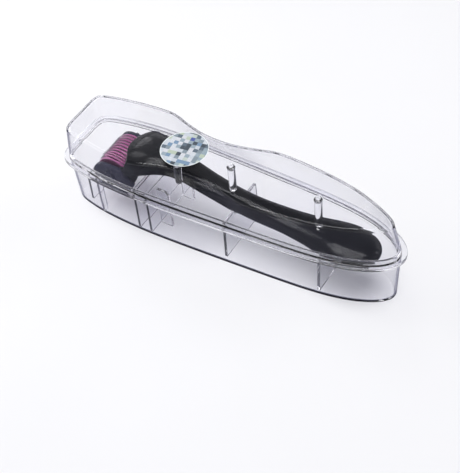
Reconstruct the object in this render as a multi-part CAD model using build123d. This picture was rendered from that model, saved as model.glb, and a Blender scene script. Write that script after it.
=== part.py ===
from build123d import *
import math
import os

# Micro-needle derma roller lying in its clear clamshell storage case.
# Frame: origin on the ground under the middle of the case, +X towards the
# handle's tail end, +Y across the case ("far" side), +Z up.  Millimetres.

os.makedirs("parts", exist_ok=True)

CUT_OVER = 1.0            # how far cutting solids run past what they cut
CUT_HALF = 20.0           # half width of cuts right across the roller head

# ------------------------------------------------------------ case sizes
FLANGE_T = 1.2            # thickness of either flange
FLANGE_W = 3.0            # how far the flanges stand out of the walls
FLANGE_GAP = 0.05         # gap between the two flanges when shut
WALL_T = 1.2              # clear wall thickness
WALL_IN = FLANGE_W + WALL_T    # inset of the walls' inner face
FLOOR_T = 1.5
Z_TRAY_FLANGE = 29.9      # underside of the tray's flange
Z_TRAY_TOP = Z_TRAY_FLANGE + FLANGE_T
RIM_GAP = 0.12            # sliding gap between tray rim and lid wall
RIM_T = 1.0
Z_RIM_TOP = 33.3
RIM_OUT = WALL_IN + RIM_GAP    # insets of the rim's two faces
RIM_IN = RIM_OUT + RIM_T
SOLE_INSET = FLANGE_W + 3.4    # flat underside of the tray
SOLE_EDGE_INSET = FLANGE_W + 2.2
FOOT_INSET = FLANGE_W + 1.4    # foot of the tray's walls
Z_SOLE_EDGE, Z_FOOT = 0.6, 2.2

Z_LID_FLANGE = Z_TRAY_TOP + FLANGE_GAP
Z_LID_FLANGE_TOP = Z_LID_FLANGE + FLANGE_T
Z_LID_WALL = Z_LID_FLANGE_TOP + 1.2    # where the lid's walls start leaning in
Z_LID_EDGE = 50.2         # where they start rounding into the roof
Z_LID_TOP = 52.0
PEG_R = 2.0               # hold-down pegs moulded under the lid's roof
PEG_ROUND = 1.2
PEG_SINK = 0.6            # depth from the roof's top to the pegs' upper ends
SEAL_R, SEAL_T = 12.7, 0.15
SEAL_X, SEAL_Y = -26.8, -0.3

# supports standing in the tray
Z_SUPPORT = 1.0           # underside, sunk into the floor
BENCH_X1, BENCH_X2, BENCH_HALF, BENCH_TOP = -49.6, -40.6, 20.0, 30.5
BENCH_T = 1.4             # wall and top thickness of the bench
RIB_X1, RIB_X2, RIB_Y = -40.8, -33.0, 11.0
GUIDE_X1, GUIDE_X2, GUIDE_Y, GUIDE_HALF = -74.0, -72.6, 18.0, 1.6
RIB_GUIDE_TOP = 27.0      # common top of ribs and guides
GUARD_X1, GUARD_X2, GUARD_HALF, GUARD_TOP = -85.4, -84.0, 14.0, 20.0
PLATE_HALF_T = 0.8        # half thickness of ribs and saddles
SADDLES = [(4.0, 16.5, 26.2), (58.0, 14.5, 22.6)]    # x, half width, top
SADDLE_ROOM = 0.45        # clearance round the handle
NOTCH_LEN = 4.0
PEGS = [(-25.1, -10.2, 37.6), (1.0, 0.0, 34.25), (51.0, 0.0, 31.25)]    # x, y, lower end

# flange outline of the case: (x, half width)
FLANGE = [
    (-98.5, 0), (-98.5, 9.5), (-97.8, 14.2), (-95.4, 18.2), (-91, 20.9),
    (-84, 22.8), (-75, 24.4), (-63, 25.6), (-48, 26.2), (-32, 26.1),
    (-9, 25.3), (16, 24.2), (40, 23.0), (56, 21.7), (68, 19.9),
    (78, 17.4), (86, 14.3), (92.0, 10.8), (96.4, 6.4), (98.1, 3.0), (98.5, 0)]
# outline of the lid's roof, (x, half width): wide head, scooped waist, leaf-shaped tail
ROOF = [
    (-94.3, 0), (-94.3, 9.5), (-93.4, 13.6), (-91, 16.0), (-86.4, 17.6),
    (-77.7, 19.4), (-68.7, 20.7), (-61.2, 21.4), (-53.3, 21.9),
    (-47.5, 21.8), (-43, 20.7), (-37.2, 18.6), (-27.3, 15.8),
    (-19.3, 14.8), (-11.2, 14.7), (-2.7, 15.6), (6.8, 17.9), (15.0, 20.0),
    (21.1, 20.5), (30.3, 20.1), (39.5, 19.3), (48.2, 18.3), (57.3, 16.8),
    (66.7, 14.6), (75.3, 11.5), (83.3, 8.0), (89.5, 4.3), (92, 0)]
# shares of the way round an outline, closer together at the case's two ends
HALF_SHARES = [
    0, 0.016, 0.032, 0.046, 0.06, 0.075, 0.095, 0.13, 0.17, 0.21, 0.25, 0.29,
    0.325, 0.355, 0.38, 0.403, 0.424, 0.442, 0.457, 0.471, 0.485, 0.5]
SHARES = HALF_SHARES + [1 - share for share in reversed(HALF_SHARES[1:-1])]
STEPS = 16                # interpolated points per table point

# ------------------------------------------------------------ handle sizes
SHELL_T = 1.6             # handle shell thickness
SUPER_N = 2.4             # superellipse exponent of the handle's cross-section
RING_POINTS = 24
MOUTH_X = -50.0           # mouth of the lower shell
HOOD_X = -62.0            # front edge of the hood, the upper shell's head end
BOW_X, BOW_Z, BOW_H = -75.0, 25.0, 30.0    # front, bottom and height of the hood's cut
PIN_XS = (-36.0, 60.0)    # locating pins
PIN_R, SOCKET_R, BOSS_R = 1.1, 1.15, 2.2
PIN_RISE, SOCKET_DEPTH = 2.2, 2.6    # heights above the parting line
BOSS_GAP = 0.05           # from either boss to the parting line
BOSS_SINK = 0.6           # from the outer surface to the bosses' buried ends

# handle stations: x, roof z, parting z, belly z, half width
HANDLE = [
    (-62.0, 41.6, 33.4, 31.5, 15.6), (-58.0, 42.9, 34.0, 32.0, 16.3),
    (-54.0, 43.6, 34.8, 32.6, 16.3), (-50.0, 43.9, 36.0, 33.5, 15.4),
    (-46.0, 43.9, 37.2, 34.4, 14.0), (-42.0, 43.6, 38.0, 35.0, 12.3),
    (-38.0, 43.0, 38.2, 35.2, 10.5), (-33.0, 42.2, 37.8, 34.8, 8.8),
    (-26.0, 40.4, 36.2, 33.0, 7.6), (-20.0, 38.3, 34.4, 31.2, 7.3),
    (-14.0, 36.4, 32.5, 29.2, 7.0), (-8.0, 35.2, 30.9, 27.2, 6.6),
    (1.0, 34.0, 28.7, 24.2, 6.1), (8.0, 33.2, 27.5, 22.7, 5.9),
    (14.0, 32.5, 26.8, 21.9, 5.95), (20.0, 32.0, 26.5, 21.7, 6.2),
    (28.0, 31.5, 26.6, 21.9, 6.7), (34.0, 31.2, 26.6, 21.9, 7.2),
    (40.0, 31.0, 26.5, 21.6, 7.9), (46.0, 31.0, 26.4, 21.2, 8.8),
    (51.0, 31.0, 26.3, 20.8, 9.8), (56.0, 31.1, 26.1, 20.3, 11.0),
    (62.0, 31.3, 25.9, 19.8, 12.1), (67.0, 31.3, 25.8, 19.5, 12.6),
    (72.0, 31.1, 25.7, 19.5, 12.3), (76.0, 30.6, 25.6, 19.9, 11.2),
    (80.0, 29.4, 25.4, 20.9, 8.7), (83.0, 27.8, 25.2, 22.4, 5.2),
    (84.6, 26.0, 25.0, 24.0, 2.0)]
# x of the sections that the outer surface, the cavity and the seam pass through
OUTER_XS = (-62, -58, -54, -50, -44, -38, -33, -26, -17, -8, 1, 11, 21, 31, 41,
            51, 60, 67, 73, 78, 82, 84.6)
CAVITY_XS = (-58, -54, -50, -44, -36, -26, -14, 1, 14, 28, 42, 54, 64, 72)
SEAM_XS = (-60, -54, -48, -42, -36, -28, -20, -11, 0, 10, 20, 34, 48, 62)
# end stations of the cavity, columns as in HANDLE
CAVITY_FRONT = (-66.0, 40.6, 32.9, 31.0, 15.0)
CAVITY_BACK = (79.5, 29.0, 25.4, 21.4, 8.0)
# hood's front edge: (distance from the middle, sweep back from HOOD_X)
BOW = [(0.0, 0.2), (3.7, 0.7), (6.5, 1.9), (8.9, 3.5), (10.9, 4.4), (13.0, 4.8),
       (CUT_HALF, 4.8)]
SEAM_HALF = 30.0          # half width of the solid below the seam
SEAM_FRONT, SEAM_BACK = (-75, 33.0), (95, 24.8)    # seam ends: x, z
SEAM_BOTTOM = 5

# ------------------------------------------------------------ roller head sizes
AXLE_X, AXLE_Z = -69.0, 25.5   # drum axis, parallel to Y
AXLE_R = 1.5
AXLE_FIT_R = AXLE_R + 0.005    # holes that hold the axle
AXLE_END = 0.4            # axle beyond either arm
BORE_R = AXLE_R + 0.05    # drum core bore, running clearance
CAP_R, CAP_T, CAP_CHAMFER = 3.6, 1.1, 0.45
CAP_HOLE = AXLE_END + 0.05     # depth of the blind hole in a cap
ARM_IN, ARM_OUT = 11.2, 14.2   # inner and outer faces of the yoke arms
ARM_X, ARM_Z, ARM_R = -71.6, 25.0, 8.2   # rounded front end of either arm
ARM_STEP = 0.1            # plate corners lie this far inside the rounded end
LUG_OUT = 12.8            # outer face of the lugs that tie the arms into the hood
BRIDGE = (-53.0, -46.5, -CUT_HALF, CUT_HALF, 20, 46)
# side outlines: (x, z)
ARM_OUTLINE = [
    (ARM_X, ARM_Z + ARM_R - ARM_STEP), (-63.0, 33.4), (-61.8, 32.6), (-57.8, 29.7),
    (-53.0, 26.0), (-57.4, 18.6), (-60.5, 17.2), (ARM_X, ARM_Z - ARM_R + ARM_STEP)]
LUG_OUTLINE = [(-61.5, 30.0), (-61.5, 34.6), (-58.0, 35.4), (-50.2, 37.0), (-50.2, 33.9),
               (-53.6, 26.4), (-57.0, 23.0)]

CORE_R, CORE_HALF = 4.5, 10.7
KEY_W, KEY_H = 1.6, 0.8
KEY_ROOT = 1.0            # how deep the key is sunk into the core
KEY_FIT = 0.03            # clearance round core and key
STACK_HALF = 10.35        # half the width of the stacked discs and rings
DISC_T = 0.30             # etched steel needle disc
DISC_COUNT = 9
TEETH = 60                # needles on one disc
TIP_R, ROOT_R = 10.65, 9.25
NEEDLE_SHARE = 0.33       # needle base as a share of the tooth pitch
RING_R = 9.75             # crown radius of the plastic spacer rings
RING_EDGE_R = 9.2
CROWN_SHARE = 0.3         # width of either ring bevel, as a share of the ring
RING_W = (2 * STACK_HALF - DISC_COUNT * DISC_T) / (DISC_COUNT + 1)


# ------------------------------------------------------------ plan outlines
def cubic(before, start, end, after, t):
    """Catmull-Rom value at t between start and end."""
    slope1, slope2 = (end - before) / 2, (after - start) / 2
    return ((2 * t**3 - 3 * t**2 + 1) * start + (t**3 - 2 * t**2 + t) * slope1
            + (-2 * t**3 + 3 * t**2) * end + (t**3 - t**2) * slope2)


def dense_loop(table, inset):
    """Catmull-Rom loop through a half-width table, moved inwards by inset."""
    loop = table + [(x, -y) for x, y in reversed(table[1:-1])]
    dense = []
    for i in range(len(loop)):
        corners = [loop[(i + k - 1) % len(loop)] for k in range(4)]
        for step in range(STEPS):
            dense.append([cubic(*values, step / STEPS) for values in zip(*corners)])
    moved = []
    for i, (x, y) in enumerate(dense):
        x1, y1 = dense[i - 2]
        x2, y2 = dense[(i + 2) % len(dense)]
        dx, dy = x2 - x1, y2 - y1
        length = math.hypot(dx, dy)
        # the loop runs clockwise seen from above, so the inside is right of it
        moved.append((x + dy / length * inset, y - dx / length * inset))
    return moved


def closed_outline(table, inset):
    """Plan outline as points at SHARES of its length from the head end."""
    loop = dense_loop(table, inset)
    loop.append(loop[0])
    run = [0.0]
    for a, b in zip(loop, loop[1:]):
        run.append(run[-1] + math.hypot(b[0] - a[0], b[1] - a[1]))
    points, j = [], 0
    for share in SHARES:
        want = run[-1] * share
        while run[j + 1] < want:
            j += 1
        t = (want - run[j]) / (run[j + 1] - run[j])
        points.append([p + (q - p) * t for p, q in zip(loop[j], loop[j + 1])])
    return points


def smooth_loop(points):
    """Periodic curve with the same knots for every loop of one size."""
    n = len(points)
    knots = [i / n for i in range(n + 1)]
    return Wire([Edge.make_spline(points, periodic=True, parameters=knots)])


def plan_wire(z, table, inset):
    return smooth_loop([Vector(x, y, z) for x, y in closed_outline(table, inset)])


def plan_loft(levels):
    """Ruled solid through (z, table, inset) levels."""
    return Solid.make_loft([plan_wire(*level) for level in levels], True)


def flange_prism(inset, z1, z2):
    return extrude(Face(plan_wire(z1, FLANGE, inset)), z2 - z1, dir=(0, 0, 1))


def flange_frame(outer_inset, inner_inset, z1, z2):
    """Band that follows the flange outline between two insets."""
    return (flange_prism(outer_inset, z1, z2)
            - flange_prism(inner_inset, z1 - CUT_OVER, z2 + CUT_OVER))


# ------------------------------------------------------------ simple solids
def polygon(points):
    outline = Polyline(*[Vector(*point) for point in points], close=True)
    return Face(Wire(outline.edges()))


def flat_plate(outline, y1, y2):
    """Plate with an (x, z) outline."""
    return extrude(polygon([(x, y1, z) for x, z in outline]), y2 - y1, dir=(0, 1, 0))


def cyl_y(radius, y1, y2, x=AXLE_X, z=AXLE_Z):
    return extrude(Plane((x, y1, z), x_dir=(1, 0, 0), z_dir=(0, 1, 0)) * Circle(radius), y2 - y1)


def cyl_z(radius, x, y, z1, z2):
    return extrude(Plane((x, y, z1)) * Circle(radius), z2 - z1)


def block(x1, x2, y1, y2, z1, z2):
    return Pos((x1 + x2) / 2, (y1 + y2) / 2, (z1 + z2) / 2) * Box(x2 - x1, y2 - y1, z2 - z1)


def largest(shape):
    return max(shape.solids(), key=lambda solid: solid.volume)


def save(shape, name):
    export_step(shape, "parts/" + name + ".step")


# ------------------------------------------------------------ handle
def handle_ring(station, grow):
    """Handle section at a station, grown outwards by grow."""
    x, roof, parting, belly, half_width = station
    points = []
    for i in range(RING_POINTS):
        angle = 2 * math.pi * i / RING_POINTS
        c, s = math.cos(angle), math.sin(angle)
        height = (roof - parting) if s >= 0 else (parting - belly)
        y = (half_width + grow) * math.copysign(abs(c) ** (2 / SUPER_N), c)
        z = parting + (height + grow) * math.copysign(abs(s) ** (2 / SUPER_N), s)
        points.append(Vector(x, y, z))
    return smooth_loop(points)


def handle_loft(stations, grow, ruled):
    return Solid.make_loft([handle_ring(station, grow) for station in stations], ruled)


def handle_at(x):
    """Station interpolated at x."""
    for p, q in zip(HANDLE, HANDLE[1:]):
        if p[0] <= x <= q[0]:
            t = (x - p[0]) / (q[0] - p[0])
            return tuple(a + (b - a) * t for a, b in zip(p, q))


def below_seam():
    """Everything under the parting surface, which is straight across."""
    (x1, z1), (x2, z2) = SEAM_FRONT, SEAM_BACK
    seam = [Vector(x1, -SEAM_HALF, z1)]
    seam += [Vector(x, -SEAM_HALF, handle_at(x)[2]) for x in SEAM_XS]
    seam.append(Vector(x2, -SEAM_HALF, z2))
    back = Vector(x2, -SEAM_HALF, SEAM_BOTTOM)
    front = Vector(x1, -SEAM_HALF, SEAM_BOTTOM)
    profile = Wire([Edge.make_spline(seam), Edge.make_line(seam[-1], back),
                    Edge.make_line(back, front), Edge.make_line(front, seam[0])])
    return extrude(Face(profile), 2 * SEAM_HALF, dir=(0, 1, 0))


def hood_cut():
    """Bows the hood's front edge: forward at its crown, swept back at its sides."""
    edge = [(HOOD_X + back, -y) for y, back in BOW[::-1]]
    edge += [(HOOD_X + back, y) for y, back in BOW[1:]]
    corners = [(BOW_X, -CUT_HALF)] + edge + [(BOW_X, CUT_HALF)]
    return extrude(polygon([(x, y, BOW_Z) for x, y in corners]), BOW_H, dir=(0, 0, 1))


def handle_shells(cavity):
    tube = handle_loft([handle_at(x) for x in OUTER_XS], 0.0, False) - cavity
    below = below_seam()
    lower = (tube & below) - block(-90, MOUTH_X, -30, 30, 0, 60)
    upper = (tube - below) - hood_cut()
    # locating pins on the lower shell in sockets on the upper shell
    for x in PIN_XS:
        _, roof, parting, belly, _ = handle_at(x)
        bottom = belly + BOSS_SINK
        pin = cyl_z(PIN_R, x, 0, bottom, parting + PIN_RISE)
        foot = cyl_z(BOSS_R, x, 0, bottom, parting - BOSS_GAP)
        lower = lower + pin + foot
        boss = cyl_z(BOSS_R, x, 0, parting + BOSS_GAP, roof - BOSS_SINK)
        upper = upper + (boss - cyl_z(SOCKET_R, x, 0, parting, parting + SOCKET_DEPTH))
    return largest(upper), largest(lower)


# ------------------------------------------------------------ yoke and axle
def arm(side):
    """Side plate beside the drum, and the lug that carries it inside the hood."""
    y1, y2 = sorted((side * ARM_IN, side * ARM_OUT))
    plate = flat_plate(ARM_OUTLINE, y1, y2) + cyl_y(ARM_R, y1, y2, ARM_X, ARM_Z)
    y1, y2 = sorted((side * ARM_IN, side * LUG_OUT))
    return plate + flat_plate(LUG_OUTLINE, y1, y2)


def head_yoke(cavity, upper, lower):
    """Two arms joined by a bridge that fills the handle's cavity."""
    yoke = (block(*BRIDGE) & cavity) + arm(1) + arm(-1)
    yoke = yoke - upper - lower
    return largest(yoke - cyl_y(AXLE_FIT_R, -CUT_HALF, CUT_HALF))


def axle_cap():
    """Cap on the far (+Y) end of the axle."""
    disc = cyl_y(CAP_R, ARM_OUT, ARM_OUT + CAP_T)
    disc = chamfer(disc.faces().sort_by(Axis.Y)[-1].edges(), CAP_CHAMFER)
    return disc - cyl_y(AXLE_FIT_R, ARM_OUT - CUT_OVER, ARM_OUT + CAP_HOLE)


# ------------------------------------------------------------ drum
def drum_core():
    """Bored cylinder with a key along its top."""
    key = block(AXLE_X - KEY_W / 2, AXLE_X + KEY_W / 2, -STACK_HALF, STACK_HALF,
                AXLE_Z + CORE_R - KEY_ROOT, AXLE_Z + CORE_R + KEY_H)
    return cyl_y(CORE_R, -CORE_HALF, CORE_HALF) + key - cyl_y(BORE_R, -CUT_HALF, CUT_HALF)


def keyed_bore(y1, y2):
    """Cut for core and key, run past both faces."""
    y1, y2 = y1 - CUT_OVER, y2 + CUT_OVER
    half_key = KEY_W / 2 + KEY_FIT
    return cyl_y(CORE_R + KEY_FIT, y1, y2) + block(
        AXLE_X - half_key, AXLE_X + half_key, y1, y2,
        AXLE_Z, AXLE_Z + CORE_R + KEY_H + KEY_FIT)


def spacer_ring(y1):
    """Crowned plastic ring: a ridge between two needle rows."""
    y2 = y1 + RING_W
    bevel = RING_W * CROWN_SHARE
    profile = polygon([(0, y1), (RING_EDGE_R, y1), (RING_R, y1 + bevel),
                       (RING_R, y2 - bevel), (RING_EDGE_R, y2), (0, y2)])
    return Pos(AXLE_X, 0, AXLE_Z) * revolve(profile, Axis.Y, 360) - keyed_bore(y1, y2)


def needle_disc(y, turn):
    """Etched steel star: pointed needles around a thin plate."""
    half = math.pi / TEETH
    needle = NEEDLE_SHARE * half
    star = []
    for i in range(TEETH):
        middle = turn + 2 * math.pi * i / TEETH
        for angle, radius in ((middle - half, ROOT_R), (middle - needle, ROOT_R),
                              (middle, TIP_R), (middle + needle, ROOT_R)):
            star.append((AXLE_X + radius * math.cos(angle), AXLE_Z + radius * math.sin(angle)))
    return flat_plate(star, y, y + DISC_T) - keyed_bore(y, y + DISC_T)


def save_drum():
    save(drum_core(), "drum_core")
    ring_names = (["drum_end_ring_near"]
                  + ["spacer_ring_%d" % k for k in range(1, DISC_COUNT)]
                  + ["drum_end_ring_far"])
    for k, name in enumerate(ring_names):
        y = -STACK_HALF + k * (RING_W + DISC_T)
        save(spacer_ring(y), name)
        if k < DISC_COUNT:
            # every other disc is turned by half a tooth
            turn = math.pi / TEETH if k % 2 else 0.0
            save(needle_disc(y + RING_W, turn), "needle_disc_%d" % (k + 1))


# ------------------------------------------------------------ case
def saddle(x, half_width, top):
    """Upright plate across the tray, notched for the handle."""
    ring = handle_ring((x - NOTCH_LEN / 2,) + handle_at(x)[1:], SADDLE_ROOM)
    notch = extrude(Face(ring), NOTCH_LEN, dir=(1, 0, 0))
    return block(x - PLATE_HALF_T, x + PLATE_HALF_T, -half_width, half_width,
                 Z_SUPPORT, top) - notch


def bench():
    """Bench behind the drum, open underneath and at both sides."""
    return (block(BENCH_X1, BENCH_X2, -BENCH_HALF, BENCH_HALF, Z_SUPPORT, BENCH_TOP)
            - block(BENCH_X1 + BENCH_T, BENCH_X2 - BENCH_T, -BENCH_HALF - CUT_OVER,
                    BENCH_HALF + CUT_OVER, Z_SUPPORT - 0.1, BENCH_TOP - BENCH_T))


def upright(x1, x2, y, half_y):
    """Rib or guide centred on y."""
    return block(x1, x2, y - half_y, y + half_y, Z_SUPPORT, RIB_GUIDE_TOP)


def case_tray():
    tub = plan_loft([(0.0, FLANGE, SOLE_INSET), (Z_SOLE_EDGE, FLANGE, SOLE_EDGE_INSET),
                     (Z_FOOT, FLANGE, FOOT_INSET), (Z_TRAY_TOP, FLANGE, FLANGE_W)])
    hollow = plan_loft([(FLOOR_T, FLANGE, FOOT_INSET + WALL_T + 1.0),
                        (FLOOR_T + 1.2, FLANGE, FOOT_INSET + WALL_T),
                        (Z_TRAY_TOP + CUT_OVER, FLANGE, WALL_IN)])
    tray = tub - hollow
    tray = tray + flange_frame(0.0, RIM_IN, Z_TRAY_FLANGE, Z_TRAY_TOP)
    tray = tray + flange_frame(RIM_OUT, RIM_IN, Z_TRAY_FLANGE, Z_RIM_TOP)
    tray = tray + bench()
    # ribs behind the bench
    for side in (-1, 1):
        tray = tray + upright(RIB_X1, RIB_X2, side * RIB_Y, PLATE_HALF_T)
    for row in SADDLES:
        tray = tray + saddle(*row)
    # guides beside the yoke
    for side in (-1, 1):
        tray = tray + upright(GUIDE_X1, GUIDE_X2, side * GUIDE_Y, GUIDE_HALF)
    # guard in front of the drum
    tray = tray + block(GUARD_X1, GUARD_X2, -GUARD_HALF, GUARD_HALF, Z_SUPPORT, GUARD_TOP)
    return largest(tray)


def case_lid():
    outer = plan_loft([(Z_LID_FLANGE, FLANGE, FLANGE_W), (Z_LID_WALL, FLANGE, FLANGE_W),
                       (Z_LID_EDGE, ROOF, 0.0), (Z_LID_EDGE + 1.1, ROOF, 0.5),
                       (Z_LID_TOP, ROOF, 1.7)])
    inner = plan_loft([(Z_LID_FLANGE - CUT_OVER, FLANGE, WALL_IN),
                       (Z_LID_WALL, FLANGE, WALL_IN), (Z_LID_EDGE - 0.6, ROOF, WALL_T),
                       (Z_LID_TOP - WALL_T, ROOF, WALL_T + 1.0)])
    lid = outer - inner
    # the flange reaches halfway into the wall
    lid = lid + flange_frame(0.0, FLANGE_W + WALL_T / 2, Z_LID_FLANGE, Z_LID_FLANGE_TOP)
    for x, y, end in PEGS:
        peg = cyl_z(PEG_R, x, y, end, Z_LID_TOP - PEG_SINK)
        lid = lid + fillet(peg.faces().sort_by(Axis.Z)[0].edges(), PEG_ROUND)
    return largest(lid)


# ------------------------------------------------------------ build
cavity = handle_loft([CAVITY_FRONT] + [handle_at(x) for x in CAVITY_XS] + [CAVITY_BACK],
                     -SHELL_T, True)
upper_shell, lower_shell = handle_shells(cavity)
save(upper_shell, "handle_upper_shell")
save(lower_shell, "handle_lower_shell")
save(head_yoke(cavity, upper_shell, lower_shell), "head_yoke")
save(cyl_y(AXLE_R, -ARM_OUT - AXLE_END, ARM_OUT + AXLE_END), "axle_pin")
save(axle_cap(), "axle_cap_far")
save(mirror(axle_cap(), about=Plane.XZ), "axle_cap_near")
save_drum()
save(case_tray(), "case_tray")
save(case_lid(), "case_lid")
save(cyl_z(SEAL_R, SEAL_X, SEAL_Y, Z_LID_TOP, Z_LID_TOP + SEAL_T), "lid_seal_label")
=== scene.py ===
"""A needle roller lying in a clear flanged case, closed by a clear lid with a round foil label.

X runs along the handle, with the needle drum at -X and the handle's tail at +X. Y runs across,
along the drum's axle, "near" being -Y and "far" +Y. Z is up, and the tray stands on z = 0.
Shapes are worked out in millimetres; meshes, lamps and the camera are in metres.
"""
import math

import bmesh
import bpy
from mathutils import Matrix, Vector
from mathutils.geometry import tessellate_polygon


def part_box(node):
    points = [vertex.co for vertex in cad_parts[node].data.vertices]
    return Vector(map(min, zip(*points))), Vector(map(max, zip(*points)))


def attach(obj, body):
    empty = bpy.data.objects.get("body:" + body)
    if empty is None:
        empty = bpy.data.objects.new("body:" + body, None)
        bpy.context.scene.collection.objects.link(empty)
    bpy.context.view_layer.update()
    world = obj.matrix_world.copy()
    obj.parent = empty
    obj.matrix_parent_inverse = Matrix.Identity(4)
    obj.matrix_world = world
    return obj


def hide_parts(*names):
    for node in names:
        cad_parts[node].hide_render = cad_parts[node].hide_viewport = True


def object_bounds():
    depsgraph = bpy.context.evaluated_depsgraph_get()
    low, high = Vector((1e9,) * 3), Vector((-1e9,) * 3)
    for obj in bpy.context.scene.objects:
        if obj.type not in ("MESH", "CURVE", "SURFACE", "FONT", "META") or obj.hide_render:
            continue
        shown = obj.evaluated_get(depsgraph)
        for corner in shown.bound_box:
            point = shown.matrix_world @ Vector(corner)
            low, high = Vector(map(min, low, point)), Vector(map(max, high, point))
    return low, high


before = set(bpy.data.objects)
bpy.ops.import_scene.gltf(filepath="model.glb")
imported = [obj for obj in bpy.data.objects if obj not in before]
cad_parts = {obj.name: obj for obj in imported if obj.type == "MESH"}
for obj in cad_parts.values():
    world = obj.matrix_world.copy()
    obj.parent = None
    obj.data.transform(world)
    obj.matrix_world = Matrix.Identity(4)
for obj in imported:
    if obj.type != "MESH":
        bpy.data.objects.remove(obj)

MM = 0.001
cad_lo, cad_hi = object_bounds()
scene = bpy.context.scene


def box_mm(node_name):
    return [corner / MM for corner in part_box(node_name)]


# ------------------------------------------------------------------ sizes from the CAD
lid_lo, lid_hi = box_mm("case_lid")
pin_lo, pin_hi = box_mm("axle_pin")
seal_lo, seal_hi = box_mm("lid_seal_label")
AXLE_X = (pin_lo.x + pin_hi.x) / 2
AXLE_Z = (pin_lo.z + pin_hi.z) / 2
RIM_TOP = box_mm("case_tray")[1].z
LID_TOP = lid_hi.z
HOOD_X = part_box("handle_upper_shell")[0].x / MM     # the handle top's -X edge
ARM_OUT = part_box("axle_cap_far")[0].y / MM          # outer face of a yoke arm

# ------------------------------------------------------------------ case sizes
WALL = 1.2
FLOOR_T = 1.5
FLANGE_T = 1.2
FLANGE_W = 3.0
LIP = 0.45                      # how far the flange's edge is rounded over
LID_FLANGE_LOW = lid_lo.z
LID_FLANGE_TOP = LID_FLANGE_LOW + FLANGE_T
TRAY_FLANGE_TOP = LID_FLANGE_LOW - 0.05
TRAY_FLANGE_LOW = TRAY_FLANGE_TOP - FLANGE_T
N_OUTLINE = 288                 # points round an outline

# Outlines seen from above, x and y of the +Y half, from the -X end to the +X end.
FLANGE = [
    (-98.5, 0), (-98.5, 9.5), (-97.8, 14.2), (-95.4, 18.2), (-91, 20.9), (-84, 22.8),
    (-75, 24.4), (-63, 25.6), (-48, 26.2), (-32, 26.1), (-9, 25.3), (16, 24.2),
    (40, 23.0), (56, 21.7), (68, 19.9), (78, 17.4), (86, 14.3), (92.0, 10.8),
    (96.4, 6.4), (98.1, 3.0), (98.5, 0)]
ROOF = [
    (-94.3, 0), (-94.3, 9.5), (-93.4, 13.6), (-91, 16.0), (-86.4, 17.6), (-77.7, 19.4),
    (-68.7, 20.7), (-61.2, 21.4), (-53.3, 21.9), (-47.5, 21.8), (-43, 20.7), (-37.2, 18.6),
    (-27.3, 15.8), (-19.3, 14.8), (-11.2, 14.7), (-2.7, 15.6), (6.8, 17.9), (15.0, 20.0),
    (21.1, 20.5), (30.3, 20.1), (39.5, 19.3), (48.2, 18.3), (57.3, 16.8), (66.7, 14.6),
    (75.3, 11.5), (83.3, 8.0), (89.5, 4.3), (92, 0)]
# Pegs hanging from the lid: x, y, z of the tip.
PEGS = [(-25.1, -10.2, 37.6), (1.0, 0.0, 34.25), (51.0, 0.0, 31.25)]

# ------------------------------------------------------------------ handle sizes
# Stations along the handle: x, z of the top, z of the seam, z of the bottom, half width.
HANDLE = [
    (-62.0, 41.6, 33.4, 31.5, 15.6), (-58.0, 42.9, 34.0, 32.0, 16.3),
    (-54.0, 43.6, 34.8, 32.6, 16.3), (-50.0, 43.9, 36.0, 33.5, 15.4),
    (-46.0, 43.9, 37.2, 34.4, 14.0), (-42.0, 43.6, 38.0, 35.0, 12.3),
    (-38.0, 43.0, 38.2, 35.2, 10.5), (-33.0, 42.2, 37.8, 34.8, 8.8),
    (-26.0, 40.4, 36.2, 33.0, 7.6), (-20.0, 38.3, 34.4, 31.2, 7.3),
    (-14.0, 36.4, 32.5, 29.2, 7.0), (-8.0, 35.2, 30.9, 27.2, 6.6),
    (1.0, 34.0, 28.7, 24.2, 6.1), (8.0, 33.2, 27.5, 22.7, 5.9),
    (14.0, 32.5, 26.8, 21.9, 5.95), (20.0, 32.0, 26.5, 21.7, 6.2),
    (28.0, 31.5, 26.6, 21.9, 6.7), (34.0, 31.2, 26.6, 21.9, 7.2),
    (40.0, 31.0, 26.5, 21.6, 7.9), (46.0, 31.0, 26.4, 21.2, 8.8),
    (51.0, 31.0, 26.3, 20.8, 9.8), (56.0, 31.1, 26.1, 20.3, 11.0),
    (62.0, 31.3, 25.9, 19.8, 12.1), (67.0, 31.3, 25.8, 19.5, 12.6)]
TAIL_START, TAIL_END = 66.0, 84.6       # x over which the tail rounds off
# The bowed -X edge of the handle's top: distance off the middle, how far it stands back.
BOW = [(0.0, 0.0), (3.7, 0.5), (6.5, 1.7), (8.9, 3.3), (10.9, 4.2), (13.0, 4.6), (20.0, 4.6)]
BOW_FADE = 16.0                         # length over which the bow dies away
SUPER_N = 2.4                           # exponent of the superelliptic cross-section
SHELL_T = 1.6
ARM_IN = 11.2                           # inner face of a yoke arm

# Quilt of the foil label, shared by its mesh and its material.
DIAMOND = 2.45
SKEW = 0.12


# ------------------------------------------------------------------ curves
def cubic(t, start, end, start_slope, end_slope):
    return ((2 * t**3 - 3 * t**2 + 1) * start + (t**3 - 2 * t**2 + t) * start_slope
            + (-2 * t**3 + 3 * t**2) * end + (t**3 - t**2) * end_slope)


def quarter(steps):
    """Angles of a quarter turn, both ends included."""
    return [math.pi / 2 * k / steps for k in range(steps + 1)]


HALF_ROUND = [math.pi * k / 6 for k in range(1, 6)]


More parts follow.
